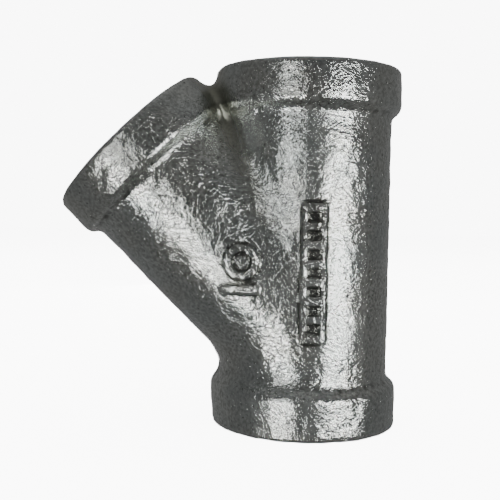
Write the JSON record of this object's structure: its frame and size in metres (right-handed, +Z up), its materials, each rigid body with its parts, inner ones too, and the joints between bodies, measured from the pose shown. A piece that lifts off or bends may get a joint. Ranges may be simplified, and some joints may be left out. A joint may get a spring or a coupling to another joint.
{
  "type": "pipe y-branch",
  "caption": "Galvanised malleable-iron pipe lateral for 3/4 in pipe: a straight run with a 45 degree branch, a round band and a tapered female thread at each end.",
  "frame": {"origin": "under the middle of the part's box, on the plane of the run's lower end face", "axes": "+Z up along the run, away from the lower end; the branch leans towards -X; +Y is the back of the part, across its plane of symmetry"},
  "size_m": [0.0672, 0.037, 0.0704],
  "materials": {
    "galvanised_iron": "hot-dip galvanised over an as-cast skin, with machined end faces and threads"
  },
  "bodies": {
    "root": {"y_branch_casting": "galvanised_iron"}
  },
  "joints": []
}
